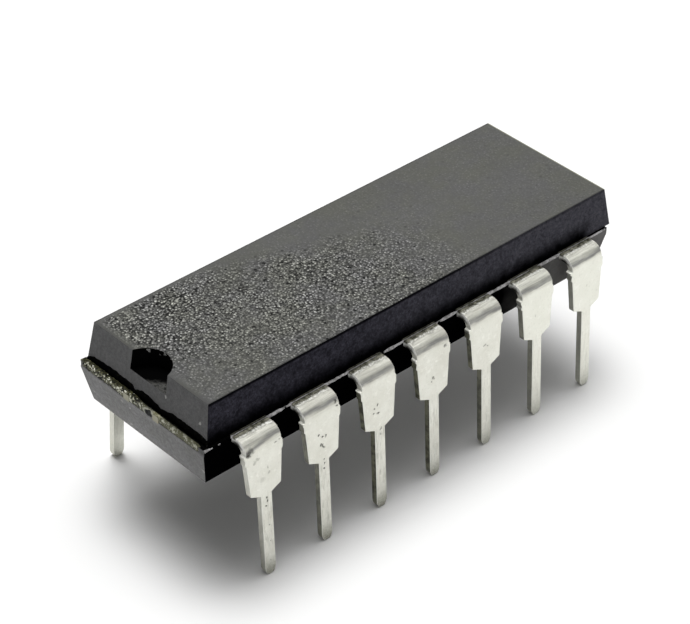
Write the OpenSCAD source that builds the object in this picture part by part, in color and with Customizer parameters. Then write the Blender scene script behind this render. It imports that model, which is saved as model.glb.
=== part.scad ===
// Fourteen-lead dual in-line integrated circuit package.
// The long axis lies along X with the notched end at -X. Lead 1 is at the
// notched end of the -Y row and lead 14 faces it. The lead tips stand on z = 0.

/* [Moulded body] */
// Length of each half where the two halves meet
body_length = 18.9; // [18.6:0.1:19.6]
// Width of the upper half where the halves meet
upper_width = 6.2; // [6.1:0.02:6.3]
// Width of the lower half where the halves meet
lower_width = 6.4; // [6.3:0.02:6.6]
// Height of the upper half above the lead frame
upper_height = 1.52; // [1.4:0.02:1.8]
// Height of the lower half, from the underside to the top of the lead frame
lower_height = 1.61; // [1.4:0.02:1.8]
// Draft of the upper half's end walls, in degrees
upper_end_draft = 8.8; // [5:0.1:12]
// Draft of the upper half's long walls, in degrees
upper_side_draft = 6.3; // [4:0.1:10]
// Draft of the lower half's end walls, in degrees
lower_end_draft = 11; // [5:0.1:13]
// Draft of the lower half's long walls, in degrees
lower_side_draft = 11.4; // [5:0.1:13]
// How far the lower half lies out of line with the upper half, along the length
mould_shift = 0.23; // [0:0.01:0.3]

/* [Notch and ejector marks] */
// Radius of the half-round notch that marks the first lead
notch_radius = 0.93; // [0.7:0.01:1.1]
// Depth of the notch below the top face
notch_depth = 0.73; // [0.5:0.01:1]
// Diameter of the two ejector marks in the underside
ejector_diameter = 1.5; // [1:0.1:2]
// Depth of the ejector marks
ejector_depth = 0.05; // [0.02:0.01:0.1]
// Distance between the ejector marks
ejector_spacing = 11; // [9:0.5:13]

/* [Leads] */
// Spacing of the leads along a row
lead_pitch = 2.54; // [2.5:0.01:2.58]
// Thickness of the lead frame
frame_thickness = 0.25; // [0.2:0.01:0.3]
// Height of the lead frame's top face above the lead tips
frame_height = 5.7; // [5.2:0.05:6.2]
// Width of a lead where it leaves the body
shoulder_width = 1.51; // [1.4:0.01:1.6]
// Width of a lead at the foot of its shoulder
shoulder_foot_width = 1.3; // [1.1:0.01:1.4]
// Height of the shoulder's foot above the lead tips, which sets the stand-off
shoulder_foot = 3.52; // [3.2:0.02:3.8]
// Drop from the shoulder's foot to the top of the neck
shoulder_drop = 0.19; // [0.1:0.01:0.4]
// Width of the neck that enters the board
neck_width = 0.46; // [0.38:0.01:0.56]
// Width of the lead tip
tip_width = 0.26; // [0.15:0.01:0.35]
// Height of the tapered end of a lead
tip_height = 0.3; // [0.1:0.05:0.5]
// Inside radius of the lead bend
bend_radius = 0.2; // [0.12:0.01:0.3]
// Straight run of a lead from the body's wall to the start of its bend
bend_run = 0.23; // [0.1:0.01:0.4]
// Outward lean of the lead legs, in degrees
lead_splay = 3.5; // [0:0.1:6]

/* [Dam bar stubs] */
// Reach of the stubs left on each side of a lead by the cut dam bar
stub_reach = 0.06; // [0.02:0.01:0.12]
// Height of a stub along the lead
stub_height = 0.42; // [0.2:0.01:0.5]
// Distance from the lead frame's top face down to a stub
stub_drop = 0.45; // [0.45:0.01:0.6]

/* [Lead frame inside the body] */
// Length of the die paddle
paddle_length = 3.8; // [3.4:0.1:4]
// Width of the die paddle
paddle_width = 2.6; // [2.2:0.1:2.8]
// Width of the tie bars that hold the paddle at both ends
tie_bar_width = 0.3; // [0.2:0.02:0.4]
// Distance between the two tie bars of one end
tie_bar_spacing = 1.52; // [1.3:0.02:1.6]
// Width of the bonding fingers
finger_width = 0.4; // [0.3:0.02:0.42]
// Gap between neighbouring strips of the lead frame
frame_gap = 0.3; // [0.2:0.02:0.32]
// Length of the slanted corner where a finger turns along the body
finger_corner = 0.35; // [0.2:0.05:0.4]

/* [Die and bond wires] */
// Length of the silicon die
die_length = 1.9; // [1.5:0.1:2.4]
// Width of the silicon die
die_width = 1.5; // [1.3:0.1:1.8]
// Thickness of the silicon die
die_thickness = 0.3; // [0.2:0.02:0.4]
// Thickness of the adhesive under the die
attach_thickness = 0.04; // [0.02:0.01:0.08]
// Width of the adhesive fillet around the die
attach_margin = 0.12; // [0.05:0.01:0.18]
// Distance from the die's edge to its bond pads
pad_inset = 0.15; // [0.1:0.01:0.2]
// Diameter of the bond wires
wire_diameter = 0.04; // [0.03:0.005:0.05]
// Diameter of the ball at the die end of a wire
ball_diameter = 0.1; // [0.08:0.01:0.12]
// Height of the wire loop above the die
loop_height = 0.3; // [0.2:0.02:0.4]
// Distance from a finger's end to its wire
bond_setback = 0.2; // [0.12:0.01:0.25]

/* [Hidden] */
$fn = 64;
leads_per_row = 7;
overlap = 0.2;
body_bottom = frame_height - lower_height;
body_top = frame_height + upper_height;
frame_bottom = frame_height - frame_thickness;
near_end = -(body_length + mould_shift) / 2;
far_end = (body_length - mould_shift) / 2;
// The bend turns about a line at this distance from the body's middle plane
bend_axis = lower_width / 2 + bend_run;
bend_outside = bend_radius + frame_thickness;
leg_reach = bend_axis + bend_outside + frame_height * tan(lead_splay) + 1;
// Lines that the bonding fingers follow, counted from the middle plane outwards
inner_run = tie_bar_spacing / 2 + tie_bar_width / 2 + frame_gap + finger_width / 2;
outer_run = inner_run + finger_width + frame_gap;
root_inside = outer_run + finger_width / 2 + frame_gap;
side_tip = paddle_width / 2 + frame_gap;
end_tip = paddle_length / 2 + frame_gap;
slant_start = lead_pitch - shoulder_width / 2 + finger_width / 2;
slant_tip = paddle_length / 2 - finger_width;
die_bottom = frame_height + attach_thickness;
die_top = die_bottom + die_thickness;

// Lead n lies in a column counted from the middle of its row
function column(n) = n <= leads_per_row ? n - 4 : 11 - n;
function row_side(n) = n <= leads_per_row ? -1 : 1;

// Unit direction, left normal and mitred edge of a path of constant width
function unit(a, b) = (b - a) / norm(b - a);
function left(d) = [-d[1], d[0]];
function edge(path, w) = [
    for (i = [0 : len(path) - 1])
        let (
            n0 = left(i > 0 ? unit(path[i - 1], path[i]) : unit(path[0], path[1])),
            n1 = left(i < len(path) - 1 ? unit(path[i], path[i + 1]) : unit(path[i - 1], path[i]))
        )
        path[i] + (n0 + n1) * w / 2 / (1 + n0 * n1)
];
function backwards(list) = [for (i = [len(list) - 1 : -1 : 0]) list[i]];

module stroke(path, w) {
    polygon(concat(edge(path, w), backwards(edge(path, -w))));
}

// Path of the bonding finger of the lead in column c, for the +X +Y quarter
function finger_path(c) =
    c == 0 ? [[0, root_inside + overlap], [0, side_tip]] :
    c == 1 ? [[slant_start, root_inside + overlap], [slant_start, root_inside],
              [slant_tip, side_tip + finger_width], [slant_tip, side_tip]] :
    let (run = c == 2 ? outer_run : inner_run, x = c * lead_pitch)
    [[x, root_inside + overlap], [x, run + finger_corner], [x - finger_corner, run],
     [c == 2 ? slant_start + finger_width / 2 + frame_gap : end_tip, run]];

// Bond point on the finger, and pad on the die, for the same quarter
function finger_bond(c) =
    c == 0 ? [0, side_tip + bond_setback] :
    c == 1 ? [slant_tip, side_tip + bond_setback] :
    c == 2 ? [slant_start + finger_width / 2 + frame_gap + bond_setback, outer_run] :
             [end_tip + bond_setback, inner_run];
function die_pad(c) =
    c < 3 ? [c * (die_length / 2 - pad_inset) / 2, die_width / 2 - pad_inset] :
            [die_length / 2 - pad_inset, die_width / 4 - pad_inset / 2];

// A block of height h whose four walls lean in with height
module drafted_block(length, width, h, end_draft, side_draft) {
    end_lean = h * tan(end_draft);
    side_lean = h * tan(side_draft);
    intersection() {
        rotate([90, 0, 0]) linear_extrude(width * 2, center = true)
            polygon([[-length / 2, 0], [length / 2, 0],
                     [length / 2 - end_lean, h], [end_lean - length / 2, h]]);
        rotate([90, 0, 90]) linear_extrude(length * 2, center = true)
            polygon([[-width / 2, 0], [width / 2, 0],
                     [width / 2 - side_lean, h], [side_lean - width / 2, h]]);
    }
}

// Side view of a lead: the strip inside the wall, the bend and the leaning leg
module lead_side() {
    translate([root_inside, frame_bottom])
        square([bend_axis - root_inside, frame_thickness]);
    translate([bend_axis, frame_height - bend_outside]) {
        intersection() {
            difference() {
                circle(bend_outside);
                circle(bend_radius);
            }
            polygon([[0, 0],
                     [2 * bend_outside * cos(lead_splay), 2 * bend_outside * sin(lead_splay)],
                     [2 * bend_outside, 2 * bend_outside], [0, 2 * bend_outside]]);
        }
        rotate(lead_splay) translate([bend_radius, -frame_height * 1.1])
            square([frame_thickness, frame_height * 1.1]);
    }
}

// Right half of a lead's front outline, from the tip upwards
function lead_half() =
    let (
        stub_top = frame_height - stub_drop,
        stub_foot = stub_top - stub_height,
        top = shoulder_width / 2
    )
    [[tip_width / 2, 0], [neck_width / 2, tip_height],
     [neck_width / 2, shoulder_foot - shoulder_drop], [shoulder_foot_width / 2, shoulder_foot],
     [top, stub_foot], [top + stub_reach, stub_foot + stub_reach / 2],
     [top + stub_reach, stub_top - stub_reach / 2], [top, stub_top], [top, frame_height + overlap]];

module lead_front() {
    half = lead_half();
    polygon(concat(half, backwards([for (p = half) [-p[0], p[1]]])));
}

// A lead of column c, for the +X +Y quarter
module lead_shape(c) {
    translate([c * lead_pitch, 0, 0]) intersection() {
        rotate([90, 0, 90]) linear_extrude(shoulder_width * 2, center = true) lead_side();
        rotate([90, 0, 0]) linear_extrude(leg_reach * 2, center = true) lead_front();
    }
    translate([0, 0, frame_bottom]) linear_extrude(frame_thickness)
        stroke(finger_path(c), finger_width);
}

// Puts a shape of the +X +Y quarter at lead n
module at_lead(n) {
    mirror([0, row_side(n) < 0 ? 1 : 0, 0]) mirror([column(n) < 0 ? 1 : 0, 0, 0]) children();
}

// One six-sided ring of a wire, square to the direction the wire runs in
function ring(p, along, across, r) =
    let (rise = cross(across, along))
    [for (a = [0 : 60 : 300]) p + r * (across * cos(a) + rise * sin(a))];

// A bond wire from its ball on the pad, up into the loop and down to the finger
module wire_shape(c) {
    pad = die_pad(c);
    bond = finger_bond(c);
    start = [pad[0], pad[1], die_top];
    end = [bond[0], bond[1], frame_height];
    level = unit(pad, bond);
    across = [-level[1], level[0], 0];
    span = norm(bond - pad);
    crown = die_top + loop_height;
    ball_r = ball_diameter / 2;
    wire_r = wire_diameter / 2;
    ball_h = ball_diameter * 0.45;
    function on_path(d, z) = [pad[0] + level[0] * d, pad[1] + level[1] * d, z];
    path = [start, on_path(0, die_top + ball_h), on_path(0, die_top + ball_h),
            on_path(0, crown - loop_height * 0.3), on_path(span * 0.06, crown - loop_height * 0.08),
            on_path(span * 0.16, crown), on_path(span * 0.42, crown - loop_height * 0.1),
            on_path(span * 0.75, frame_height + (crown - frame_height) * 0.5), end];
    radii = [ball_r, ball_r, wire_r, wire_r, wire_r, wire_r, wire_r, wire_r, wire_r];
    last = len(path) - 1;
    points = [
        for (i = [0 : last])
            let (along = i < 3 ? [0, 0, 1] :
                         i == last ? [0, 0, -1] : unit(path[i - 1], path[i + 1]))
            each ring(path[i], along, across, radii[i])
    ];
    sides = [
        for (i = [0 : last - 1], j = [0 : 5])
            let (a = i * 6 + j, b = i * 6 + (j + 1) % 6)
            each [[a, b, b + 6], [a, b + 6, a + 6]]
    ];
    caps = [for (j = [1 : 4]) each [[0, j + 1, j], [last * 6, last * 6 + j, last * 6 + j + 1]]];
    polyhedron(points = points, faces = concat(sides, caps));
}

module paddle_shape() {
    translate([0, 0, frame_bottom]) linear_extrude(frame_thickness) {
        square([paddle_length, paddle_width], center = true);
        for (s = [-1, 1])
            translate([near_end, s * tie_bar_spacing / 2 - tie_bar_width / 2])
                square([far_end - near_end, tie_bar_width]);
    }
}

module attach_shape() {
    translate([0, 0, frame_height + attach_thickness / 2])
        cube([die_length + 2 * attach_margin, die_width + 2 * attach_margin, attach_thickness],
             center = true);
}

module die_shape() {
    translate([0, 0, die_bottom + die_thickness / 2])
        cube([die_length, die_width, die_thickness], center = true);
}

// The two drafted halves, joined at the top of the lead frame
module body_blank() {
    translate([mould_shift / 2, 0, frame_height])
        drafted_block(body_length, upper_width, upper_height,
                      upper_end_draft, upper_side_draft);
    translate([-mould_shift / 2, 0, 0]) {
        translate([0, 0, frame_bottom + frame_thickness / 2])
            cube([body_length, lower_width, frame_thickness], center = true);
        translate([0, 0, frame_bottom]) mirror([0, 0, 1])
            drafted_block(body_length, lower_width, lower_height - frame_thickness,
                          lower_end_draft, lower_side_draft);
    }
}

module moulded_body() {
    color("#3d3d41") difference() {
        body_blank();
        translate([(mould_shift - body_length) / 2, 0, body_top - notch_depth])
            cylinder(r = notch_radius, h = notch_depth * 2);
        for (s = [-1, 1])
            translate([s * ejector_spacing / 2, 0, body_bottom])
                cylinder(d = ejector_diameter, h = ejector_depth * 2, center = true);
        for (n = [1 : 2 * leads_per_row]) at_lead(n) {
            lead_shape(abs(column(n)));
            wire_shape(abs(column(n)));
        }
        paddle_shape();
        attach_shape();
        die_shape();
    }
}

module lead(n) {
    color("#d9d7cf") at_lead(n) lead_shape(abs(column(n)));
}

module bond_wire(n) {
    color("#e0b040") at_lead(n) wire_shape(abs(column(n)));
}

module die_paddle() {
    color("#b9824f") paddle_shape();
}

module die_attach() {
    color("#9a9a9a") attach_shape();
}

module silicon_die() {
    color("#5a6172") die_shape();
}

moulded_body();
lead(1);  // lead_01
lead(2);  // lead_02
lead(3);  // lead_03
lead(4);  // lead_04
lead(5);  // lead_05
lead(6);  // lead_06
lead(7);  // lead_07
lead(8);  // lead_08
lead(9);  // lead_09
lead(10);  // lead_10
lead(11);  // lead_11
lead(12);  // lead_12
lead(13);  // lead_13
lead(14);  // lead_14
die_paddle();
die_attach();
silicon_die();
bond_wire(1);  // bond_wire_01
bond_wire(2);  // bond_wire_02
bond_wire(3);  // bond_wire_03
bond_wire(4);  // bond_wire_04
bond_wire(5);  // bond_wire_05
bond_wire(6);  // bond_wire_06
bond_wire(7);  // bond_wire_07
bond_wire(8);  // bond_wire_08
bond_wire(9);  // bond_wire_09
bond_wire(10);  // bond_wire_10
bond_wire(11);  // bond_wire_11
bond_wire(12);  // bond_wire_12
bond_wire(13);  // bond_wire_13
bond_wire(14);  // bond_wire_14
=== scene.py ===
"""A fourteen-lead integrated circuit on a pale floor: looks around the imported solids."""
import math
import random

import bmesh
import bpy
from mathutils import Matrix, Vector, noise


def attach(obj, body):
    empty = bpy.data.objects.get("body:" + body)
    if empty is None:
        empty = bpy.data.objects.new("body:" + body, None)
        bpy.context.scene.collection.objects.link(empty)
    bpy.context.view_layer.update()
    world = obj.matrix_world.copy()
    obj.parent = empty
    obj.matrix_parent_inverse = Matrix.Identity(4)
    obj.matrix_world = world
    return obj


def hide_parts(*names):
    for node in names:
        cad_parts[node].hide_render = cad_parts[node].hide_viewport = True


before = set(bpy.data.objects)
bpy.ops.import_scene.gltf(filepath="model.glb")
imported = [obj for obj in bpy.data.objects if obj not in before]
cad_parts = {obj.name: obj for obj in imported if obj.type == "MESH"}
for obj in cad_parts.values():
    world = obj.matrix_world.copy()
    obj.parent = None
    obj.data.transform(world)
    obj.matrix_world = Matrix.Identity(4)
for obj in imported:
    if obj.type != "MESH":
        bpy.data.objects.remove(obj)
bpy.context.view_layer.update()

MM = 0.001

# Sizes in millimetres and angles in degrees. The moulded body:
TOP, JOIN, RIM, UNDER = 7.22, 5.70, 5.45, 4.09
LENGTH, UPPER_W, LOWER_W, SHIFT = 18.9, 6.2, 6.4, 0.23
NEAR_UP, FAR_UP = -(LENGTH - SHIFT) / 2, (LENGTH + SHIFT) / 2
NEAR_LO, FAR_LO = -(LENGTH + SHIFT) / 2, (LENGTH - SHIFT) / 2
UPPER_END_DRAFT, UPPER_SIDE_DRAFT = 8.8, 6.3
LOWER_END_DRAFT, LOWER_SIDE_DRAFT = 11.0, 11.4
NOTCH_R, NOTCH_Z = 0.93, TOP - 0.73
EJECTOR_X, EJECTOR_R, EJECTOR_DEPTH = 5.5, 0.75, 0.05

# The leads:
PITCH, COLUMNS = 2.54, range(-3, 4)
SHOULDER = 0.755                       # half the width at the bend
SPLAY, BEND_AXIS, BEND_OUT, BEND_IN = 3.5, 3.43, 0.45, 0.20

# Places that the materials and the flash share, at the near end:
HOLLOW = (-9.54, -0.40, 5.59)          # beside the first tie bar, painted black with shade
GLINT = (-9.53, -0.76, 5.74)           # a painted highlight on the end of that bar
NOTCH_MOUTH = (-7.4, 1.1, TOP)         # where the grain is strongest


def tan(deg):
    return math.tan(math.radians(deg))


class Nodes:
    """Short forms for building a node tree."""

    def __init__(self, tree):
        self.tree = tree
        tree.nodes.clear()

    def new(self, kind, inputs=None, **props):
        node = self.tree.nodes.new(kind)
        for key, value in props.items():
            setattr(node, key, value)
        for key, value in (inputs or {}).items():
            self.put(node, key, value)
        return node

    def put(self, node, key, value):
        """Links a socket to an input, or sets the input's own value."""
        socket = node.inputs[key]
        if isinstance(value, bpy.types.NodeSocket):
            self.tree.links.new(value, socket)
        elif socket.type == "RGBA":
            socket.default_value = value + (1.0,)
        else:
            socket.default_value = value

    def math(self, op, a, b=0.0):
        return self.new("ShaderNodeMath", {0: a, 1: b}, operation=op).outputs[0]

    def add(self, a, *others):
        for b in others:
            a = self.math("ADD", a, b)
        return a

    def sub(self, a, b):
        return self.math("SUBTRACT", a, b)

    def mul(self, a, *others):
        for b in others:
            a = self.math("MULTIPLY", a, b)
        return a

    def most(self, a, b):
        return self.math("MAXIMUM", a, b)

    def above(self, a, b):
        return self.math("GREATER_THAN", a, b)

    def size_of(self, a):
        return self.math("ABSOLUTE", a)

    def vector(self, op, a, b, out=0):
        return self.new("ShaderNodeVectorMath", {0: a, 1: b}, operation=op).outputs[out]

    def distance(self, a, b):
        return self.vector("DISTANCE", a, b, "Value")

    def split(self, vec):
        return self.new("ShaderNodeSeparateXYZ", {0: vec}).outputs[:3]

    def ramp(self, value, lo, hi, a=0.0, b=1.0, smooth=False):
        """a at lo and b at hi, straight or eased between them and level outside."""
        return self.new("ShaderNodeMapRange", {0: value, 1: lo, 2: hi, 3: a, 4: b},
                        interpolation_type="SMOOTHSTEP" if smooth else "LINEAR").outputs[0]

    def mix(self, factor, a, b, mode="MIX"):
        node = self.new("ShaderNodeMix", data_type="RGBA", blend_type=mode)
        self.put(node, 0, factor)
        self.put(node, 6, a)
        self.put(node, 7, b)
        return node.outputs[2]

    def scaled(self, colour, gain):
        """A colour made lighter or darker."""
        grey = self.new("ShaderNodeCombineXYZ", {0: gain, 1: gain, 2: gain}).outputs[0]
        return self.mix(1.0, colour, grey, "MULTIPLY")

    def noise(self, vec, scale, detail=2.0, rough=0.5, out=0):
        return self.new("ShaderNodeTexNoise", {"Vector": vec, "Scale": scale, "Detail": detail,
                                               "Roughness": rough}).outputs[out]

    def cloud(self, vec, scale, detail, rough, lo, hi, a=0.0, b=1.0):
        """Noise put through a ramp."""
        return self.ramp(self.noise(vec, scale, detail, rough), lo, hi, a, b)

    def wave(self, vec, height, scale, detail=3.0, rough=0.5):
        """Noise about zero, for edges that wander."""
        return self.mul(self.sub(self.noise(vec, scale, detail, rough), 0.5), height)

    def cells(self, vec, scale):
        """Three random values for each cell in space."""
        node = self.new("ShaderNodeTexVoronoi", {"Vector": vec, "Scale": scale})
        return self.split(node.outputs["Color"])

    def dots(self, vec, scale):
        """Cells in the XY plane: the distance from each middle and a random value."""
        node = self.new("ShaderNodeTexVoronoi", {"Vector": vec, "Scale": scale}, voronoi_dimensions="2D")
        return node.outputs["Distance"], self.split(node.outputs["Color"])[0]

    def normal(self):
        """The direction a face looks in, in the object's own axes."""
        return self.split(self.new("ShaderNodeTexCoord").outputs["Normal"])

    def hollow(self, mm):
        """Distance from the hollow beside the first tie bar, 1 at its uneven rim."""
        reach = self.vector("MULTIPLY", self.vector("SUBTRACT", mm, HOLLOW), (0.0, 5.0, 10.0))
        reach = self.vector("LENGTH", reach, (0.0, 0.0, 0.0), "Value")
        return self.add(reach, self.wave(mm, 0.8, 8.0))


def material(name):
    """A new material, its nodes, its surface and the place on the object in millimetres."""
    m = bpy.data.materials.new(name)
    m.use_nodes = True
    n = Nodes(m.node_tree)
    out = n.new("ShaderNodeOutputMaterial")
    surface = n.new("ShaderNodeBsdfPrincipled")
    n.put(out, 0, surface.outputs[0])
    place = n.new("ShaderNodeTexCoord").outputs["Object"]
    return m, n, surface, n.vector("MULTIPLY", place, (1000, 1000, 1000))


def finish(n, surface, base, rough, specular, height, depth, strength):
    """Colour, roughness, specular level and bump of a surface."""
    n.put(surface, "Base Color", base)
    n.put(surface, "Roughness", rough)
    surface.inputs["Specular IOR Level"].default_value = specular
    n.put(surface, "Normal", n.new("ShaderNodeBump", {"Strength": strength, "Distance": depth * MM,
                                                      "Height": height}).outputs[0])


def epoxy():
    """Spark-textured compound of the top: fine light and dark grains that fade away from lead 1."""
    m, n, surface, mm = material("moulding_compound")
    x, y, _ = n.split(mm)
    # the grain reaches to a wandering diagonal, is strongest by the notch and ends short of the rims
    sway = n.wave(mm, 3.2, 0.6, 3.0, 0.6)
    back = n.mul(n.most(n.sub(y, 0.5), 0.0), 2.3)
    along = n.add(x, n.mul(y, 0.25), back, sway)
    across = n.add(x, n.mul(y, 1.35), sway)
    amount = n.mul(n.ramp(along, 3.4, -1.5, 0.10, 1.0, True), n.ramp(across, -13.0, -5.0, 0.22, 1.0))
    amount = n.mul(amount, n.ramp(n.distance(mm, NOTCH_MOUTH), 2.8, 0.8, 1.0, 1.45, True))
    amount = n.mul(amount, n.cloud(mm, 0.9, 2.0, 0.5, 0.3, 0.7, 0.66, 1.20))
    amount = n.mul(amount, n.ramp(x, -9.04, -8.74), n.ramp(y, 2.86, 2.70))
    # loose grains of two sizes
    small = n.cells(mm, 21.0)[0]
    grain = n.add(n.mul(small, 0.72), n.mul(n.cells(mm, 12.0)[1], 0.28))
    low = n.ramp(grain, 0.15, 0.52, 0.05, 0.90)
    high = n.mul(n.math("POWER", n.ramp(grain, 0.52, 0.95), 2.0), 3.9)
    loose = n.mul(n.sub(n.add(low, high), 1.0), 0.6)
    # small bright dots in an even spread, with darker gaps between them
    away, pick = n.dots(mm, 8.6)
    bright = n.mul(n.ramp(away, 0.34, 0.12), n.math("POWER", pick, 2.0))
    even = n.sub(n.mul(bright, 4.1), n.ramp(away, 0.25, 0.50, -0.06, 0.44))
    # a few small black pits
    away, pick = n.dots(mm, 1.9)
    pits = n.mul(n.ramp(away, 0.13, 0.07), n.above(pick, 0.45))
    even = n.sub(even, n.mul(pits, 1.5))
    gain = n.add(n.mul(n.add(even, loose), amount), n.ramp(x, -9.10, -8.88, 0.70, 1.0))
    shade = n.cloud(mm, 0.35, 3.0, 0.6, 0.3, 0.7, 0.94, 1.06)
    # painted shade in a thin dark line where the top meets the long walls, and a painted highlight in a pale
    # line at the far rim
    line = n.ramp(n.size_of(y), 2.875, 2.905, 1.0, 0.45)
    tint = n.cloud(mm, 0.75, 4.0, 0.65, 0.38, 0.62)
    base = n.mix(tint, (0.105, 0.106, 0.094), (0.102, 0.102, 0.100))
    base = n.scaled(base, n.mul(n.most(gain, 0.03), shade, line))
    base = n.mix(n.ramp(x, 9.27, 9.30, 0.0, 0.55), base, (0.30, 0.30, 0.20))
    height = n.add(n.noise(mm, 16.0, 2.0, 0.6), n.mul(small, 0.5))
    finish(n, surface, base, n.cloud(mm, 5.0, 3.0, 0.5, 0.3, 0.7, 0.58, 0.72), 0.22,
           height, 0.02, n.mul(amount, 0.5))
    return m


def end_epoxy():
    """The end walls and the underside: the same compound, smoother; the lower half's end walls are painted
    paler with the light they get from the floor.
    """
    m, n, surface, mm = material("compound_end")
    x, y, z = n.split(mm)
    # painted light: a paler copy of the compound on the lower half's end walls, which face the bright floor,
    # lighter still towards the back
    lower = n.mul(n.ramp(z, 5.55, 5.45), n.ramp(n.normal()[2], -0.9, -0.6))
    patches = n.cloud(mm, 1.3, 5.0, 0.65, 0.3, 0.7)
    base = n.mix(patches, (0.076, 0.076, 0.076), (0.089, 0.089, 0.091))
    pale = n.mix(patches, (0.150, 0.150, 0.145), (0.176, 0.175, 0.178))
    pale = n.scaled(pale, n.ramp(y, -2.8, 0.4, 1.02, 1.18))
    # a painted highlight along the top of the lower end walls, under the rim
    rim = n.mul(n.ramp(z, 5.24, 5.34), n.ramp(y, -3.0, -2.0, 0.0, 0.22))
    pale = n.mix(rim, pale, (0.30, 0.30, 0.30))
    base = n.mix(lower, base, pale)
    # painted shade: the hollow beside the first tie bar is painted black
    hollow = n.mul(n.ramp(n.hollow(mm), 1.1, 0.9), n.ramp(x, -9.3, -9.4))
    base = n.mix(hollow, base, (0.001, 0.001, 0.001))
    base = n.scaled(base, n.cloud(mm, 8.5, 4.0, 0.85, 0.36, 0.64, 0.76, 1.22))
    speck = n.above(n.cells(mm, 9.0)[0], 0.992)
    base = n.mix(n.mul(speck, 0.5), base, (0.45, 0.45, 0.42))
    height = n.add(n.noise(mm, 9.0, 3.0, 0.65), n.mul(n.noise(mm, 2.0, 2.0), 0.8))
    finish(n, surface, base, n.cloud(mm, 4.0, 3.0, 0.5, 0.3, 0.7, 0.55, 0.70), 0.25, height, 0.012, 0.5)
    return m


def wall_epoxy():
    """The long walls: nearly black, a little paler towards lead 7, painted black with shade towards the
    parting line.
    """
    m, n, surface, mm = material("compound_wall")
    x, _, z = n.split(mm)
    # painted shade: black towards the parting line, where the leads and the upper half shade the walls,
    # except at the far end
    body = n.ramp(n.add(z, n.mul(n.noise(mm, 2.2, 4.0, 0.7), 0.5)), 6.03, 6.80, smooth=True)
    body = n.most(body, n.ramp(x, 8.15, 8.6))
    mottle = n.add(n.cloud(mm, 3.2, 4.0, 0.75, 0.35, 0.68),
                   n.cloud(mm, 10.0, 4.0, 0.8, 0.35, 0.65, -0.45, 0.45))
    dark = n.mix(mottle, (0.0150, 0.0145, 0.0190), (0.040, 0.039, 0.051))
    pale = n.mix(mottle, (0.052, 0.051, 0.062), (0.074, 0.073, 0.085))
    base = n.mix(body, (0.0006, 0.0006, 0.0008), n.mix(n.ramp(x, -4.0, 9.0), dark, pale))
    # painted shade: a dark line under the top edge
    line = n.mul(n.ramp(z, 7.10, 7.15), n.ramp(x, 1.5, 5.0, 0.95, 0.4))
    base = n.mix(line, base, (0.002, 0.002, 0.003))
    base = n.scaled(base, n.cloud(mm, 9.0, 4.0, 0.85, 0.36, 0.64, 0.68, 1.32))
    # the lower half turns dull grey at the far end
    far_grey = n.ramp(n.add(x, n.mul(n.noise(mm, 2.0, 3.0), 0.8)), 4.4, 7.9)
    base = n.mix(n.mul(far_grey, n.ramp(z, 5.69, 5.64)), base,
                 n.mix(mottle, (0.130, 0.127, 0.127), (0.157, 0.154, 0.151)))
    finish(n, surface, base, n.cloud(mm, 4.0, 3.0, 0.5, 0.3, 0.7, 0.42, 0.6), 0.0,
           n.noise(mm, 7.0, 3.0, 0.6), 0.012, 0.5)
    return m


def resin():
    """Smooth resin painted nearly black with shade: the notch's inside, the skirt above the parting line and
    the ledge of the lower half.
    """
    m, n, surface, mm = material("smooth_resin_painted_shade")
    x, y, z = n.split(mm)
    # grey patches on the front side of the notch
    front = n.add(n.mul(x, -1.0), n.mul(y, -0.9), n.mul(n.noise(mm, 4.0, 4.0, 0.7), 0.5))
    patch = n.mul(n.cloud(mm, 7.0, 4.0, 0.7, 0.32, 0.58), n.ramp(front, 9.30, 9.62), n.ramp(z, 6.35, 6.4))
    base = n.mix(patch, (0.0016, 0.0016, 0.0017), (0.085, 0.085, 0.080))
    # flecks along the notch's upper rim and an olive cast on the skirt
    rim = n.mul(n.above(n.cells(mm, 8.0)[0], 0.88), n.ramp(z, 7.02, 7.08))
    base = n.mix(n.mul(rim, 0.8), base, (0.25, 0.25, 0.24))
    olive = n.mul(n.cloud(mm, 9.0, 4.0, 0.75, 0.56, 0.66), n.ramp(z, 6.2, 6.0))
    base = n.mix(n.mul(olive, 0.5), base, (0.018, 0.018, 0.010))
    finish(n, surface, base, n.cloud(mm, 3.0, 2.0, 0.5, 0.3, 0.7, 0.30, 0.45), 0.0,
           n.noise(mm, 6.0, 3.0), 0.02, 0.6)
    return m


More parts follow.
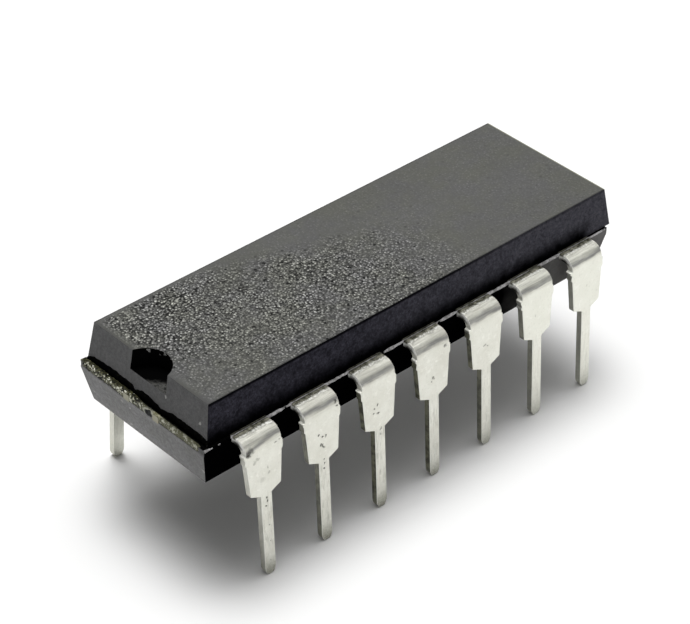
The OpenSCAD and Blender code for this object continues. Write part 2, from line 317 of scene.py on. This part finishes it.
def flash():
    """Thin resin flash along the parting line, painted pale with highlights where it catches the light:
    rough and speckled, smoother and paler past the tie bars.
    """
    m, n, surface, mm = material("resin_flash")
    x, y, z = n.split(mm)
    grainy = n.noise(mm, 6.0, 4.0, 0.75)
    # a pale core of painted highlight runs along the bead, with painted shadow in a dull compound colour
    # below it
    level = n.add(z, n.wave(mm, 0.16, 3.5, 3.0, 0.7))
    core = n.mul(n.ramp(level, 5.52, 5.58), n.ramp(level, 5.79, 5.72), n.ramp(x, -9.46, -9.51))
    low = n.ramp(level, 5.54, 5.49)
    dull = n.mix(grainy, (0.060, 0.060, 0.056), (0.105, 0.105, 0.10))
    # the speckled part, with light chips of painted highlight and dark pores
    chip, pore, _ = n.cells(mm, 17.0)
    chips = n.sub(0.97, n.mul(core, n.cloud(mm, 2.4, 3.0, 0.5, 0.35, 0.6, 0.12, 0.46)))
    base = n.mix(n.ramp(grainy, 0.42, 0.60), (0.014, 0.014, 0.005), (0.088, 0.088, 0.044))
    base = n.mix(n.mul(core, 0.8), base,
                 n.mix(n.ramp(grainy, 0.4, 0.6), (0.04, 0.04, 0.022), (0.22, 0.22, 0.15)))
    base = n.mix(n.above(chip, chips), base,
                 n.mix(n.ramp(grainy, 0.35, 0.65), (0.30, 0.30, 0.21), (0.85, 0.85, 0.74)))
    base = n.mix(n.ramp(pore, 0.34, 0.24), base, (0.004, 0.004, 0.003))
    base = n.mix(n.mul(low, 0.7), base, dull)
    # the plain part past the tie bars and the beads along the sides, painted pale with highlights
    spots = n.cloud(mm, 5.6, 3.0, 0.75, 0.50, 0.60)
    plain = n.mix(core, n.mix(n.ramp(grainy, 0.4, 0.6), (0.022, 0.022, 0.012), (0.06, 0.06, 0.036)),
                  n.mix(spots, (0.115, 0.115, 0.072), (0.47, 0.47, 0.39)))
    plain = n.mix(low, plain, dull)
    sides = n.mix(n.cloud(mm, 7.0, 3.0, 0.7, 0.42, 0.58), (0.26, 0.25, 0.25), (0.58, 0.57, 0.58))
    plain = n.mix(n.ramp(n.size_of(y), 3.04, 3.08), plain, sides)
    speckled = n.ramp(n.add(y, n.mul(n.noise(mm, 2.0, 2.0), 0.8)), -0.2, 0.7)
    base = n.mix(n.mul(speckled, n.ramp(x, -9.3, -9.36)), plain, base)
    # a painted copper glint on the end of the first tie bar, and beside it a hollow painted black with
    # shade, its rim a pale painted highlight
    near = n.ramp(x, -9.2, -9.3)
    glint = n.add(n.distance(mm, GLINT), n.wave(mm, 0.12, 8.0))
    base = n.mix(n.mul(near, n.ramp(glint, 0.24, 0.14, 0.0, 0.9)), base,
                 n.mix(n.cloud(mm, 9.0, 3.0, 0.7, 0.44, 0.56), (0.13, 0.125, 0.06), (0.42, 0.40, 0.28)))
    hollow = n.hollow(mm)
    base = n.mix(n.mul(near, n.ramp(hollow, 1.6, 1.35, 0.0, 0.8)), base, (0.40, 0.40, 0.34))
    base = n.mix(n.mul(near, n.ramp(hollow, 1.1, 0.9)), base, (0.001, 0.001, 0.001))
    finish(n, surface, base, n.cloud(mm, 8.0, 3.0, 0.5, 0.3, 0.7, 0.45, 0.65), 0.12,
           n.noise(mm, 13.0, 4.0, 0.7), 0.04, 0.9)
    return m


# Tool marks on the leads of the front row: position along the row, height, radius, strength. The first four
# are a dent on lead 1's shoulder, painted dark with its shade.
MARKS = [(-8.16, 5.34, 0.2, 0.6), (-8.25, 5.27, 0.14, 0.85), (-8.28, 5.20, 0.09, 1),
         (-8.13, 5.28, 0.13, 0.6), (-8.06, 4.83, 0.09, 0.3), (-7.93, 4.88, 0.08, 0.3),
         (-7.50, 4.39, 0.07, 0.35), (-7.47, 4.16, 0.08, 0.35), (-7.76, 3.98, 0.16, 0.16),
         (-7.10, 5.22, 0.05, 0.5), (-6.95, 5.24, 0.05, 0.4), (-7.63, 3.20, 0.06, 0.9),
         (-7.62, 3.05, 0.05, 0.9), (-7.64, 2.90, 0.05, 0.8), (-7.60, 2.01, 0.04, 0.6),
         (-7.57, 1.41, 0.04, 0.6), (-7.58, 0.56, 0.04, 0.5),
         (-5.26, 4.48, 0.045, 0.9), (-5.11, 4.34, 0.05, 0.9), (-4.96, 4.33, 0.04, 0.8),
         (-5.20, 4.03, 0.055, 0.85), (-5.12, 3.97, 0.05, 0.85), (-5.05, 3.90, 0.055, 0.8),
         (-5.09, 3.41, 0.05, 0.7), (-5.10, 3.24, 0.05, 0.9), (-5.10, 3.03, 0.05, 0.8),
         (-4.46, 5.41, 0.07, 0.8), (-4.44, 5.25, 0.06, 0.8),
         (-2.79, 4.27, 0.05, 0.7), (-2.62, 4.33, 0.05, 0.8), (-2.60, 4.00, 0.06, 0.8),
         (-2.78, 4.07, 0.045, 0.7), (-2.51, 3.32, 0.05, 0.5), (-2.52, 3.11, 0.05, 0.5),
         (-0.05, 4.22, 0.06, 0.6), (-0.12, 4.05, 0.05, 0.6), (0.02, 4.14, 0.05, 0.5),
         (0.56, 5.22, 0.09, 0.7),
         (2.47, 4.27, 0.06, 0.45), (2.57, 4.20, 0.05, 0.45),
         (4.98, 4.30, 0.05, 0.2),
         (7.60, 4.35, 0.05, 0.2)]


def tool_marks(n, mm, turned, z):
    """How deep the tool marks are, as a pattern of wavering spots on the front outline of a lead."""
    shake = n.vector("SUBTRACT", n.noise(mm, 5.0, 2.0, 0.5, 1), (0.5, 0.5, 0.5))
    shake = n.new("ShaderNodeVectorMath", {0: shake, "Scale": 0.26}, operation="SCALE").outputs[0]
    outline = n.vector("ADD", n.new("ShaderNodeCombineXYZ", {0: turned, 2: z}).outputs[0], shake)
    outline = n.vector("MULTIPLY", outline, (1, 0, 1))
    marks = 0.0
    for mark_x, mark_z, radius, strength in MARKS:
        away = n.distance(outline, (mark_x, 0, mark_z))
        marks = n.most(n.ramp(away, radius, radius * 0.45, 0.0, strength), marks)
    return marks


def tin():
    """Matte tin plating: resin film where a lead leaves the body, streaks on the bend, small tool marks,
    with painted highlights, reflections and shade.
    """
    m, n, surface, mm = material("tin_plate")
    x, y, z = n.split(mm)
    nx, ny, nz = n.normal()
    nx = n.size_of(nx)
    depth = n.size_of(y)
    # the back row repeats the front row turned half round
    turned = n.mul(x, n.math("SIGN", n.mul(y, -1.0)))
    fine = n.noise(mm, 11.0, 3.0, 0.7)
    base = n.mix(n.cloud(mm, 1.6, 4.0, 0.6, 0.3, 0.75), (0.66, 0.655, 0.585), (0.76, 0.76, 0.695))
    base = n.mix(n.ramp(turned, 1.0, 5.3, 0.0, 0.53), base, (0.86, 0.865, 0.78))
    base = n.mix(n.ramp(fine, 0.55, 0.8, 0.0, 0.40), base, (0.46, 0.45, 0.39))
    base = n.mix(n.cloud(mm, 5.0, 3.0, 0.6, 0.58, 0.75, 0.0, 0.5), base, (0.92, 0.92, 0.86))
    # streaks run along X over the bend and end in a painted reflection of the dark horizon, a grey band
    # above the face
    drawn = n.new("ShaderNodeMapping", {"Vector": mm, "Scale": (0.8, 15.0, 15.0)}).outputs[0]
    streak = n.noise(drawn, 1.0, 3.0, 0.7)
    bend = n.ramp(z, 5.24, 5.42, smooth=True)
    base = n.mix(n.mul(n.ramp(streak, 0.42, 0.70), n.mul(bend, 0.5)), base, (0.33, 0.32, 0.28))
    drop = n.add(z, n.wave(mm, 0.22, 1.5), n.ramp(turned, -8.36, -7.4, 0.20, 0.0))
    band = n.mul(n.ramp(drop, 5.39, 5.47, smooth=True), n.ramp(drop, 5.60, 5.50, smooth=True))
    base = n.mix(n.mul(band, n.ramp(streak, 0.3, 0.6, 0.40, 0.80)), base, (0.29, 0.29, 0.285))
    crest = n.mul(n.ramp(z, 5.650, 5.672), n.ramp(z, 5.696, 5.684, 0.0, 0.30))
    base = n.mix(crest, base, (0.30, 0.295, 0.27))
    # sheared side walls: painted dull and olive below the bend with shade and dark reflections, less so at
    # lead 1, which looks out over open floor, and towards lead 7
    side = n.mul(n.ramp(nx, 0.90, 0.98), n.ramp(z, 5.24, 5.14))
    by_lead = n.add(n.ramp(x, -7.5, -6.0, 0.2, 0.72), n.ramp(x, -5.2, -4.2, 0.0, 0.23))
    dull = n.mul(side, by_lead, n.ramp(x, 1.5, 7.6, 1.0, 0.35))
    base = n.mix(dull, base,
                 n.mix(n.cloud(mm, 4.0, 3.0, 0.5, 0.4, 0.6), (0.035, 0.036, 0.020), (0.17, 0.17, 0.115)))
    # faint lengthways streaks on the legs, and painted shade on the tips
    down = n.new("ShaderNodeMapping", {"Vector": mm, "Scale": (11.0, 11.0, 1.4)}).outputs[0]
    legs = n.mul(n.cloud(down, 1.0, 3.0, 0.7, 0.48, 0.68, 0.0, 0.42), n.ramp(z, 3.5, 3.2))
    legs = n.most(legs, n.mul(n.ramp(z, 0.75, 0.10), n.ramp(fine, 0.35, 0.6, 0.45, 0.9)))
    base = n.mix(n.mul(legs, n.ramp(turned, -2.0, 5.0, 1.0, 0.45)), base, (0.24, 0.24, 0.19))
    # the cheek of the bend, painted: shade inside and a highlight outside near the top, pale with light all
    # over lower down, palest at lead 1
    across, over = n.sub(depth, BEND_AXIS), n.sub(z, JOIN - BEND_OUT)
    ring = n.math("SQRT", n.add(n.mul(across, across), n.mul(over, over)))
    ring = n.add(ring, n.wave(mm, 0.16, 7.0, 3.0, 0.7))
    cheek = n.mix(n.math("POWER", n.ramp(ring, 0.24, 0.37), 1.8), (0.008, 0.008, 0.006), (0.90, 0.90, 0.86))
    cheek = n.mix(n.ramp(z, 5.46, 5.36), cheek,
                  n.mix(n.ramp(x, -7.9, -7.0), (0.80, 0.80, 0.74), (0.64, 0.64, 0.57)))
    on_cheek = n.mul(n.ramp(nx, 0.75, 0.92), n.ramp(z, 5.14, 5.24))
    base = n.mix(on_cheek, base, cheek)
    dull = n.most(dull, on_cheek)
    # painted highlights make the outer edges pale, and painted shade from the body darkens the faces turned
    # to it down to the neck
    outward = n.mul(ny, n.math("SIGN", y))
    edge_highlight = n.mul(n.ramp(nx, 0.25, 0.50), n.ramp(nx, 0.97, 0.90), n.ramp(n.most(outward, nz), 0.1, 0.3))
    base = n.mix(edge_highlight, base, (0.86, 0.86, 0.80))
    dull = n.most(dull, edge_highlight)
    inner = n.mul(n.ramp(outward, -0.5, -0.8), n.ramp(z, 3.0, 3.8, 0.06, 1.0))
    base = n.mix(n.mul(inner, n.cloud(mm, 3.0, 4.0, 0.7, 0.3, 0.7, 0.45, 0.75)), base, (0.20, 0.20, 0.135))
    # marks left by the tools, only on the faces that look outwards
    marks = n.mul(tool_marks(n, mm, turned, z), n.ramp(nx, 0.6, 0.4), n.ramp(depth, 3.70, 3.76))
    base = n.mix(n.mul(marks, 0.95), base, (0.035, 0.035, 0.028))
    # resin film over the flat part next to the body, with painted shadow where it meets the body and a
    # ragged edge of beads painted pale with highlights
    flat = n.ramp(z, 5.60, 5.66)
    edge = n.add(depth, n.wave(mm, 0.30, 5.0, 4.0, 0.8))
    film = n.mul(n.ramp(edge, 3.42, 3.36), flat)
    lit_beads = n.mul(n.ramp(edge, 3.34, 3.41), n.ramp(edge, 3.51, 3.45), flat)
    film_and_shade = n.mix(n.cloud(mm, 6.0, 4.0, 0.75, 0.40, 0.62), (0.045, 0.045, 0.028), (0.36, 0.355, 0.28))
    film_and_shade = n.mix(n.ramp(depth, 3.28, 3.21, 0.0, 0.7), film_and_shade, (0.020, 0.020, 0.014))
    base = n.mix(film, base, film_and_shade)
    base = n.mix(n.mul(lit_beads, n.ramp(fine, 0.45, 0.55)), base, (0.95, 0.95, 0.90))
    n.put(surface, "Metallic", n.sub(1.0, n.most(n.mul(film, 0.8), n.mul(dull, 0.8))))
    height = n.add(n.mul(n.noise(mm, 16.0, 2.0), 0.35), n.mul(streak, bend, 1.1))
    height = n.sub(n.add(height, n.mul(lit_beads, 1.5)), n.mul(marks, 2.0))
    rough = n.add(n.cloud(mm, 4.0, 3.0, 0.5, 0.3, 0.7, 0.32, 0.45), n.ramp(z, 5.30, 5.42, 0.0, 0.20))
    finish(n, surface, base, rough, 0.2, height, 0.016, 0.9)
    return m


def metal(name, colour, dull, rough, smeared_ends=False):
    """A plain metal. Cut ends in the end walls can be smeared over with resin."""
    m, n, surface, mm = material(name)
    base = n.mix(n.cloud(mm, 3.0, 4.0, 0.5, 0.3, 0.7), colour, dull)
    if smeared_ends:
        x, y, _ = n.split(mm)
        smear = n.cloud(mm, 6.0, 4.0, 0.7, 0.52, 0.66, 1.0, 0.85)
        smear = n.most(smear, n.mul(n.ramp(y, -0.2, 0.0), n.ramp(x, 0.0, -1.0)))
        base = n.mix(n.mul(n.ramp(n.size_of(x), 9.25, 9.3), smear), base, (0.24, 0.235, 0.18))
    surface.inputs["Metallic"].default_value = 1.0
    finish(n, surface, base, n.cloud(mm, 6.0, 2.0, 0.5, 0.3, 0.7, rough, rough + 0.12), 0.5,
           n.noise(mm, 14.0, 2.0), 0.006, 0.5)
    return m


EPOXY, END, WALL, SHADED_RESIN, FLASH, TIN = epoxy(), end_epoxy(), wall_epoxy(), resin(), flash(), tin()
COPPER = metal("frame_copper", (0.72, 0.45, 0.26), (0.50, 0.31, 0.18), 0.32, True)
GOLD = metal("gold_wire", (0.95, 0.74, 0.30), (0.80, 0.60, 0.22), 0.2)
SILVER = metal("die_adhesive", (0.60, 0.60, 0.60), (0.42, 0.42, 0.43), 0.55)
SILICON = metal("silicon", (0.22, 0.24, 0.32), (0.15, 0.17, 0.23), 0.18)
BODY_MATS = [EPOXY, END, WALL, SHADED_RESIN]
IN_TOP, IN_END, IN_WALL, IN_SHADED_RESIN = range(4)


def tube(name, rings, mats):
    """A closed object in millimetres through rings of equally many points."""
    k, last = len(rings[0]), len(rings[0]) * (len(rings) - 1)
    faces = [(a + j, a + (j + 1) % k, a + k + (j + 1) % k, a + k + j)
             for a in range(0, last, k) for j in range(k)]
    faces += [tuple(range(k))[::-1], tuple(range(last, last + k))]
    mesh = bpy.data.meshes.new(name)
    mesh.from_pydata([Vector(point) * MM for ring in rings for point in ring], [], faces)
    mesh.validate()
    ob = bpy.data.objects.new(name, mesh)
    bpy.context.collection.objects.link(ob)
    for m in mats:
        mesh.materials.append(m)
    bm = bmesh.new()
    bm.from_mesh(mesh)
    bmesh.ops.recalc_face_normals(bm, faces=bm.faces)
    bm.to_mesh(mesh)
    bm.free()
    return ob


def shade_smooth(ob):
    for p in ob.data.polygons:
        p.use_smooth = True


def cut(ob, outline, z0, z1):
    """Takes an upright prism out of the object for good."""
    cutter = tube("tool", [[(x, y, z) for x, y in outline] for z in (z0, z1)], [])
    mod = ob.modifiers.new("cut", "BOOLEAN")
    mod.operation, mod.solver, mod.object = "DIFFERENCE", "EXACT", cutter
    bpy.context.view_layer.update()
    done = bpy.data.meshes.new_from_object(ob.evaluated_get(bpy.context.evaluated_depsgraph_get()))
    ob.modifiers.clear()
    ob.data = done
    bpy.data.objects.remove(cutter)


def disc(cx, r, k=72):
    """The outline of a round tool on the middle line."""
    turns = [2 * math.pi * i / k for i in range(k)]
    return [(cx + r * math.cos(a), r * math.sin(a)) for a in turns]


def round_edges(ob, width, segments=3, angle=30):
    shade_smooth(ob)
    mod = ob.modifiers.new("round", "BEVEL")
    mod.width, mod.segments, mod.limit_method = width * MM, segments, "ANGLE"
    mod.angle_limit, mod.harden_normals = math.radians(angle), True
    mod.miter_outer = "MITER_ARC"


def half(name, layers, top_mat):
    """Half of the body through rectangles (x0, x1, half width, z), each face with its material."""
    rings = [[(x0, -w, z), (x1, -w, z), (x1, w, z), (x0, w, z)] for x0, x1, w, z in layers]
    ob = tube(name, rings, BODY_MATS)
    for p in ob.data.polygons:
        p.material_index = top_mat if p.normal.z > 0.9 else IN_WALL if abs(p.normal.y) > 0.9 else IN_END
    return ob


# The upper half, with the notch.
in_end, in_side = (TOP - JOIN) * tan(UPPER_END_DRAFT), (TOP - JOIN) * tan(UPPER_SIDE_DRAFT)
upper = half("body_upper", [(NEAR_UP, FAR_UP, UPPER_W / 2, JOIN),
                            (NEAR_UP + in_end, FAR_UP - in_end, UPPER_W / 2 - in_side, TOP)], IN_TOP)
cut(upper, disc(NEAR_UP, NOTCH_R), NOTCH_Z, TOP + 1)
# the notch's floor and round wall take the resin painted black with shade
for p in upper.data.polygons:
    c = p.center / MM
    on_floor = abs(c.z - NOTCH_Z) < 0.02 and p.normal.z > 0.9
    on_round = abs(p.normal.z) < 0.1 and 0.95 < math.hypot(c.x - NEAR_UP, c.y) / NOTCH_R < 1.01
    if on_floor or (on_round and c.z > NOTCH_Z):
        p.material_index = IN_SHADED_RESIN
round_edges(upper, 0.015)

# The lower half: rounded rim, slots for the leads, ejector marks below.
in_end, in_side = (RIM - UNDER) * tan(LOWER_END_DRAFT), (RIM - UNDER) * tan(LOWER_SIDE_DRAFT)
FAR_RIM = FAR_LO - 0.008               # the cut ends of the tie bars stand out of it
SLOT_HALF, SLOT_INNER, SLOT_OUTER = SHOULDER + 0.012, 2.95, 3.4
# its top face, the ledge round the upper half, takes the resin painted black with shade
lower = half("body_lower", [(NEAR_LO + in_end, FAR_LO - in_end, LOWER_W / 2 - in_side, UNDER),
                            (NEAR_LO, FAR_RIM, LOWER_W / 2, RIM),
                            (NEAR_LO + 0.02, FAR_RIM, LOWER_W / 2, RIM + 0.08),
                            (NEAR_LO + 0.03, FAR_RIM, LOWER_W / 2, JOIN)], IN_SHADED_RESIN)
for side in (-1, 1):
    for c in COLUMNS:
        x0, x1 = c * PITCH - SLOT_HALF, c * PITCH + SLOT_HALF
        y0, y1 = side * SLOT_INNER, side * SLOT_OUTER
        cut(lower, [(x0, y0), (x1, y0), (x1, y1), (x0, y1)], RIM - 0.01, JOIN + 0.2)
for x in (-EJECTOR_X, EJECTOR_X):
    cut(lower, disc(x, EJECTOR_R), UNDER - 0.2, UNDER + EJECTOR_DEPTH)
round_edges(lower, 0.018, 2)


def between(marks, t):
    """Straight lines between (position, value) marks, level outside them."""
    for (a, va), (b, vb) in zip(marks, marks[1:]):
        if t <= b:
            return va + (vb - va) * max(0.0, (t - a)) / (b - a)
    return marks[-1][1]


def uneven(x, y, z, scale=6.0):
    return noise.noise(Vector((x, y, z)) * scale)


def unit(value):
    return min(1.0, max(0.0, value))


def strip(name, count, section, mat):
    """A closed smooth strip through the sections at 0 ... 1."""
    ob = tube(name, [section(i / count) for i in range(count + 1)], [mat])
    shade_smooth(ob)
    return ob


# The height of the skirt above the parting line, across the near end: a band painted black with shade at the
# foot of the upper half's end wall.
SKIRT = [(-3.10, 5.92), (-2.79, 5.99), (-2.36, 5.99), (-1.91, 6.00), (-1.6, 5.99), (-1.37, 6.01),
         (-1.16, 5.94), (-0.76, 5.87), (-0.62, 5.91), (-0.39, 5.95), (-0.11, 6.0), (0.2, 6.02),
         (0.45, 5.93), (0.6, 5.88), (0.73, 5.99), (0.91, 6.0), (1.27, 6.0), (1.6, 6.03),
         (1.9, 6.02), (2.36, 5.99), (2.81, 5.95), (3.10, 5.82)]
SKIRT_START, SKIRT_RUN = -3.085, 6.17


def skirt_section(t):
    y = SKIRT_START + SKIRT_RUN * t
    low = JOIN + 0.001
    top = between(SKIRT, y) + 0.025 * uneven(0, y, 1) + 0.015 * uneven(0, y, 5, 19.0)

    def off_wall(z, off):
        return NEAR_UP + (z - JOIN) * tan(UPPER_END_DRAFT) - off, y, z

    return [off_wall(low, -0.05), off_wall(low, 0.03), off_wall((JOIN + top) / 2, 0.028),
            off_wall(top - 0.012, 0.024), off_wall(top, 0.012), off_wall(top, -0.05)]


BEAD_START, BEAD_RUN = -3.02, 6.21
BEAD_X, BEAD_Z = -9.49, 5.60
OUTMOST_X = -9.564


def bead_section(t):
    """The flash bead along the near end: even at the front, rough at the back, hollow by the tie bar."""
    y = BEAD_START + BEAD_RUN * t
    back = unit((y + 0.1) / 0.7)
    tip = min(1.0, (1 - t) / 0.02, t / 0.03) ** 0.5
    inner = -9.42 + 0.10 * back
    lift = 0.02 * back
    hollow = math.exp(-((y + 0.42) / 0.08) ** 2)
    sag = 0.05 * math.exp(-((y - 0.95) / 0.25) ** 2)
    line = [(inner, 5.690), (inner - 0.02, 5.725 + lift), (-9.47, 5.755 + lift), (-9.52, 5.745 + lift),
            (-9.550, 5.69), (-9.561, 5.61), (-9.560, 5.52 - sag), (-9.548, 5.455 - sag), (-9.51, 5.43 - sag),
            (-9.44, 5.60)]
    ring = []
    for k, (x, z) in enumerate(line):
        d = (0.007 + 0.026 * back) * (uneven(x, y, z, 7.0) + 0.7 * uneven(x, y, z, 19.0))
        if 3 < k < 8:
            x += 0.05 * hollow
        x, z = BEAD_X + (x - BEAD_X) * tip, BEAD_Z + (z - BEAD_Z) * tip + d * (0.5 if k in (0, 9) else 1.0)
        ring.append((max(OUTMOST_X, x + 0.6 * d), y, z))
    return ring


LEDGE_START, LEDGE_RUN, LEDGE_Y = -9.53, 18.75, 3.194
LEDGE_GAP = (-9.30, -8.42)             # no bead between these two
LEDGE_LOW = 8.42                       # a low bead beyond this
NEAR_LEAD = 0.72                       # a lower bead this close to the middle of a lead


def ledge(side):
    """A thin broken bead of flash on the long rim of the lower half."""
    def section(t):
        x = LEDGE_START + LEDGE_RUN * t
        live = unit(0.75 + 2.2 * uneven(x, side * 9.0, 0, 1.9))
        if LEDGE_GAP[0] < x < LEDGE_GAP[1]:
            live = 0.0
        elif x > LEDGE_LOW:
            live *= 0.3
        if min(abs(x - c * PITCH) for c in COLUMNS) < NEAR_LEAD:
            live *= 0.45
        w, h = 0.034 * live + 0.004, 0.026 * live - (0.03 if live < 0.02 else 0.0)
        y = LEDGE_Y + 0.012 * uneven(x, 3, side, 6.0)
        d = 0.010 * uneven(x, 7, side, 15.0) * live
        ring = [(-w, -0.04), (-w, h * 0.3), (-0.3 * w, h * 0.7 + d), (0.6 * w, h * 0.5 + d),
                (w, -0.02), (w, -0.07)]
        return [(x, side * (y + a), JOIN + b) for a, b in ring]

    return strip("side_flash_%s" % ("front" if side < 0 else "back"), 900, section, FLASH)


skirt = strip("skirt_painted_shade", 240, skirt_section, SHADED_RESIN)
bead = strip("end_flash", 420, bead_section, FLASH)
for ob in (upper, lower, skirt, bead, ledge(-1), ledge(1)):
    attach(ob, "root")
    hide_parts("moulded_body")


# Half the width of a lead's front outline: (height, half width).
OUTLINE = [(0.0, 0.07), (0.02, 0.115), (0.06, 0.155), (0.13, 0.195), (0.22, 0.222), (0.32, 0.23),
           (3.33, 0.23), (3.52, 0.65), (4.83, SHOULDER), (6.0, SHOULDER)]
# The cut dam bar's stubs: height, and how far each side sticks out, from and to.
STUBS = [(5.215, (0.05, 0.10), (0.03, 0.06)), (5.15, (0.06, 0.10), (0.04, 0.06)),
         (5.08, (0.02, 0.05), (0.04, 0.06)), (4.98, (0.02, 0.05), (0.05, 0.07)),
         (4.88, (0.04, 0.07), (0.04, 0.07)), (4.85, (0.03, 0.06), (0.03, 0.05))]
BELOW_STUBS = (4.82, 4.3, 3.54, 3.52, 3.33, 3.2, 2.2, 1.2, 0.5, 0.32, 0.22, 0.13, 0.06, 0.02, 0.0)
FLAT_RUN = (2.6, 3.05, 3.15, 3.3, BEND_AXIS)
BEND_STEPS = 10


def lead(name, column, side):
    """The outer part of a lead: flat strip, bend, shoulder with its stubs, neck and tip."""
    draw = random.Random(name)
    bend_z = JOIN - BEND_OUT
    lean = tan(SPLAY)
    thick_out, thick_in = (r / math.cos(math.radians(SPLAY)) for r in (BEND_OUT, BEND_IN))
    rings = []

    def ring(outer, inner, left=SHOULDER, right=SHOULDER):
        (yo, zo), (yi, zi) = outer, inner
        x0, x1 = column * PITCH - left, column * PITCH + right
        rings.append([(x0, side * yo, zo), (x1, side * yo, zo), (x1, side * yi, zi), (x0, side * yi, zi)])

    for y in FLAT_RUN:
        ring((y, JOIN), (y, RIM))
    for i in range(1, BEND_STEPS + 1):
        a = math.radians(90 - (90 - SPLAY) * i / BEND_STEPS)
        ring(*[(BEND_AXIS + r * math.cos(a), bend_z + r * math.sin(a)) for r in (BEND_OUT, BEND_IN)])
    levels = [(5.235, 0, 0)]
    for z, left, right in STUBS:
        levels.append((z, draw.uniform(*left), draw.uniform(*right)))
    levels += [(z, 0, 0) for z in BELOW_STUBS]
    for z, left, right in levels:
        y, w = BEND_AXIS + (bend_z - z) * lean, between(OUTLINE, z)
        ring((y + thick_out, z), (y + thick_in, z), w + left, w + right)
    ob = tube(name, rings, [TIN])
    round_edges(ob, 0.03, 3, 28)
    return ob


for i in range(1, 15):
    column, side = (i - 4, -1) if i <= 7 else (11 - i, 1)
    ob = lead("lead_skin_%02d" % i, column, side)
    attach(ob, "root")
    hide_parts("lead_%02d" % i)

# The pieces inside keep their shape and get their own materials.
INSIDE = {"die_paddle": COPPER, "die_attach": SILVER, "silicon_die": SILICON}
for node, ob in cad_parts.items():
    mat = GOLD if node.startswith("bond_wire") else INSIDE.get(node)
    if mat:
        ob.data.materials.clear()
        ob.data.materials.append(mat)

# The floor.
FLOOR_SIZE, FLOOR_Z = 0.8, -0.00001
bpy.ops.mesh.primitive_plane_add(size=FLOOR_SIZE, location=(0, 0, FLOOR_Z))
floor = bpy.context.object
floor.name = "floor"
floor_paint = bpy.data.materials.new("pale_floor")
floor_paint.use_nodes = True
n = Nodes(floor_paint.node_tree)
matte = n.new("ShaderNodeBsdfDiffuse", {"Color": (0.95, 0.95, 0.945)})
n.put(n.new("ShaderNodeOutputMaterial"), 0, matte.outputs[0])
floor.data.materials.append(floor_paint)

# The light: a large soft one almost overhead, a soft side panel, a low pale wall along the front
# and a faint even fill. The camera sees plain white.
world = bpy.data.worlds.new("studio")
bpy.context.scene.world = world
world.use_nodes = True
n = Nodes(world.node_tree)
toward = n.new("ShaderNodeTexCoord").outputs["Generated"]
dx, dy, dz = n.split(toward)


def soft_light(direction, tightness, strength):
    lean = n.vector("DOT_PRODUCT", toward, direction, "Value")
    return n.mul(n.math("EXPONENT", n.mul(n.sub(lean, 1.0), tightness)), strength)


overhead = soft_light((0.080, 0.212, 0.974), 27.0, 14.3)
panel = soft_light((0.718, -0.192, 0.669), 26.0, 0.8)
level_run = n.math("SQRT", n.most(n.sub(1.0, n.mul(dz, dz)), 0.0001))
away = n.math("DIVIDE", n.add(n.mul(dx, 0.044), n.mul(dy, 0.498)), level_run)
front = n.most(n.sub(0.5, away), 0.0)
rise = n.sub(dz, 0.22)
low_wall = n.mul(front, front, n.math("EXPONENT", n.mul(rise, rise, -60.0)), 1.65)
light = n.add(overhead, low_wall, panel, 0.03)
lit = n.new("ShaderNodeBackground", {"Color": (1.0, 1.0, 1.0), "Strength": light})
plain = n.new("ShaderNodeBackground", {"Color": (1.0, 1.0, 1.0), "Strength": 1.0})
seen = n.new("ShaderNodeLightPath").outputs["Is Camera Ray"]
both = n.new("ShaderNodeMixShader", {0: seen, 1: lit.outputs[0], 2: plain.outputs[0]})
n.put(n.new("ShaderNodeOutputWorld"), 0, both.outputs[0])

# The camera, fitted to the view: its own axes and its place.
RIGHT = (0.7371407, -0.6756548, 0.0106869)
UPWARD = (0.3972705, 0.4461078, 0.8019751)
BACKWARD = (-0.5466258, -0.5869228, 0.5972619)
PLACE = (-48.598842 * MM, -51.640923 * MM, 57.550081 * MM)
lens = bpy.data.cameras.new("camera")
lens.sensor_width, lens.lens = 36.0, 132.158
lens.clip_start, lens.clip_end = 0.002, 5.0
camera = bpy.data.objects.new("camera", lens)
bpy.context.collection.objects.link(camera)
camera.matrix_world = Matrix((RIGHT + (0,), UPWARD + (0,), BACKWARD + (0,), PLACE + (1,))).transposed()
bpy.context.scene.camera = camera
bpy.context.scene.view_settings.view_transform = "Standard"

bpy.context.view_layer.update()
